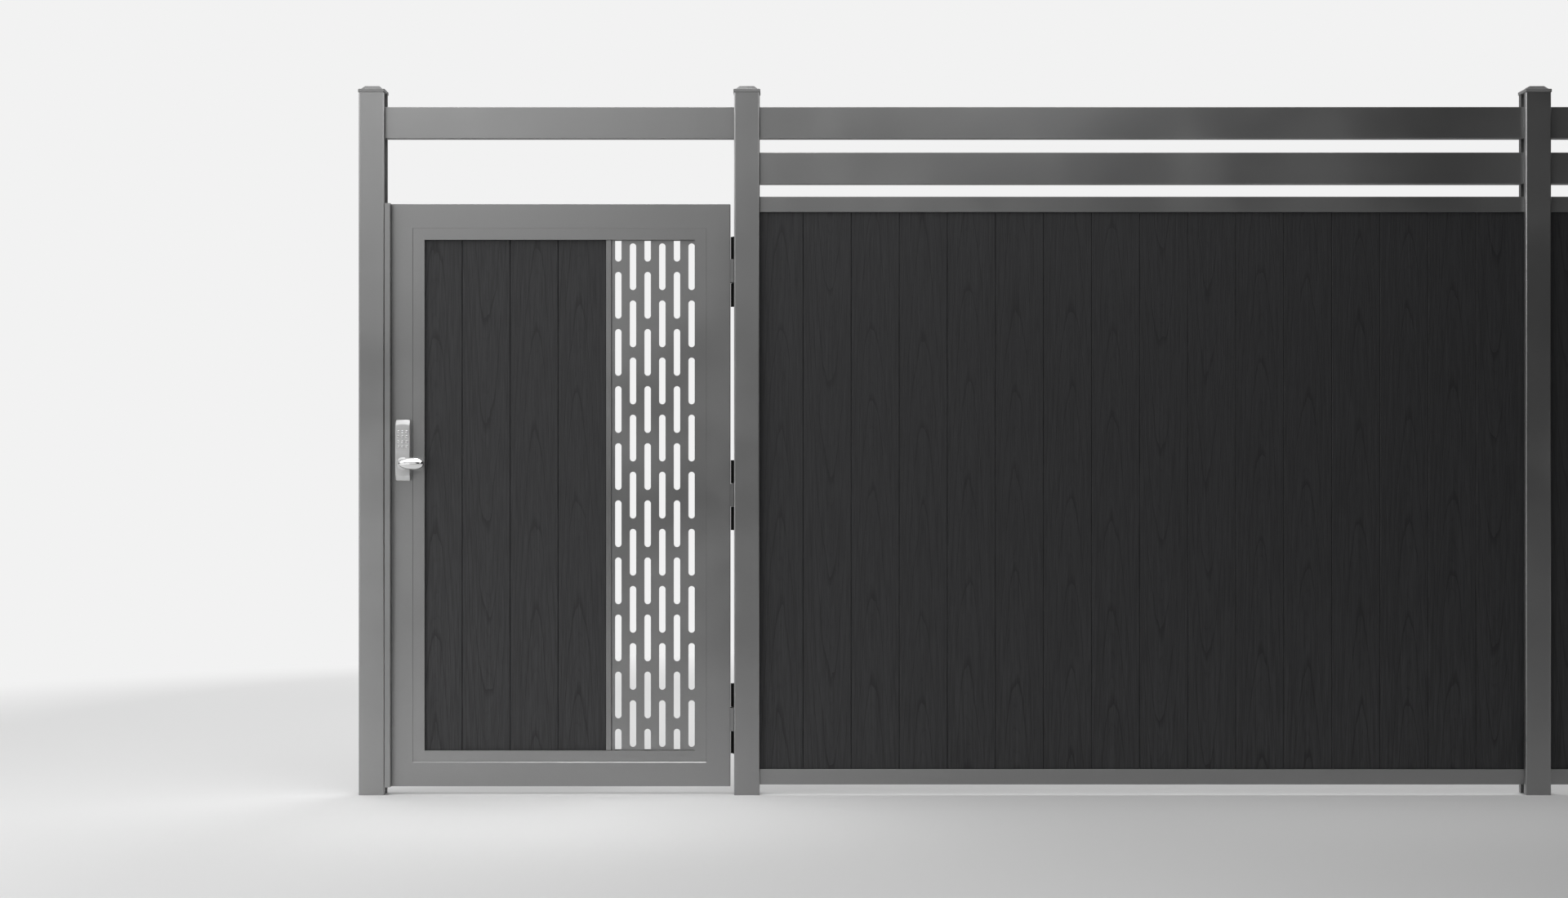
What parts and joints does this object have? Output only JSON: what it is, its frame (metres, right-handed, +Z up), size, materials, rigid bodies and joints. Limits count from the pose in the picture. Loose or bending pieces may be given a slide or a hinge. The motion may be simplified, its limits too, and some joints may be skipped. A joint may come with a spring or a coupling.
{
  "type": "composite gate with fence bays",
  "caption": "Boarded garden gate with a slotted privacy screen, push-button lock and lever, hung on slotted metal posts beside matching boarded fence bays with open top rails",
  "frame": {"origin": "centre of the hinge post's foot, on the ground", "axes": "+X along the fence away from the gate, +Y to the side the gate opens to, +Z up"},
  "size_m": [6.22, 0.145, 2.225],
  "materials": {
    "grey_coating": "satin grey powder coat",
    "composite_board": "matt charcoal wood composite with an embossed grain",
    "black_coating": "matt black coating",
    "lock_satin": "satin silver casting",
    "lever_chrome": "polished chrome",
    "pin_steel": "plain steel"
  },
  "bodies": {
    "fence": {"latch_post": "grey_coating", "latch_post_cap": "grey_coating", "hinge_post": "grey_coating", "hinge_post_cap": "grey_coating", "fence_post_1": "grey_coating", "fence_post_1_cap": "grey_coating", "fence_post_2": "grey_coating", "fence_post_2_cap": "grey_coating", "gate_head_rail": "grey_coating", "fence_upper_rail_1": "grey_coating", "fence_lower_rail_1": "grey_coating", "fence_bottom_channel_1": "grey_coating", "fence_top_channel_1": "grey_coating", "fence_boards_1": "composite_board", "fence_upper_rail_2": "grey_coating", "fence_lower_rail_2": "grey_coating", "fence_bottom_channel_2": "grey_coating", "fence_top_channel_2": "grey_coating", "fence_boards_2": "composite_board", "latch_stop": "grey_coating", "hinge_bottom_post_plate": "black_coating", "hinge_bottom_pin": "pin_steel", "hinge_middle_post_plate": "black_coating", "hinge_middle_pin": "pin_steel", "hinge_top_post_plate": "black_coating", "hinge_top_pin": "pin_steel"},
    "leaf": {"leaf_bottom_frame": "grey_coating", "leaf_bottom_bead": "grey_coating", "leaf_top_frame": "grey_coating", "leaf_top_bead": "grey_coating", "leaf_latch_frame": "grey_coating", "leaf_latch_bead": "grey_coating", "leaf_hinge_frame": "grey_coating", "leaf_hinge_bead": "grey_coating", "leaf_boards": "composite_board", "leaf_mullion": "grey_coating", "leaf_screen": "grey_coating", "hinge_bottom_leaf_block": "grey_coating", "hinge_middle_leaf_block": "grey_coating", "hinge_top_leaf_block": "grey_coating", "lock_front_case": "lock_satin", "lock_back_case": "lock_satin", "lock_buttons": "lock_satin"},
    "lever": {"lever_front": "lever_chrome", "lever_back": "lever_chrome", "lever_spindle": "pin_steel"}
  },
  "joints": [
    {"name": "gate_swing", "type": "hinge", "parent": "fence", "child": "leaf", "pos_m": [-0.0463, 0.04, 0.94], "axis": [0, 0, -1], "range_deg": [0, 105]},
    {"name": "lever_turn", "type": "hinge", "parent": "leaf", "child": "lever", "pos_m": [-1.08, 0, 1.039], "axis": [0, 1, 0], "range_deg": [0, 45], "stiffness_Nm_per_rad": 1.2}
  ]
}
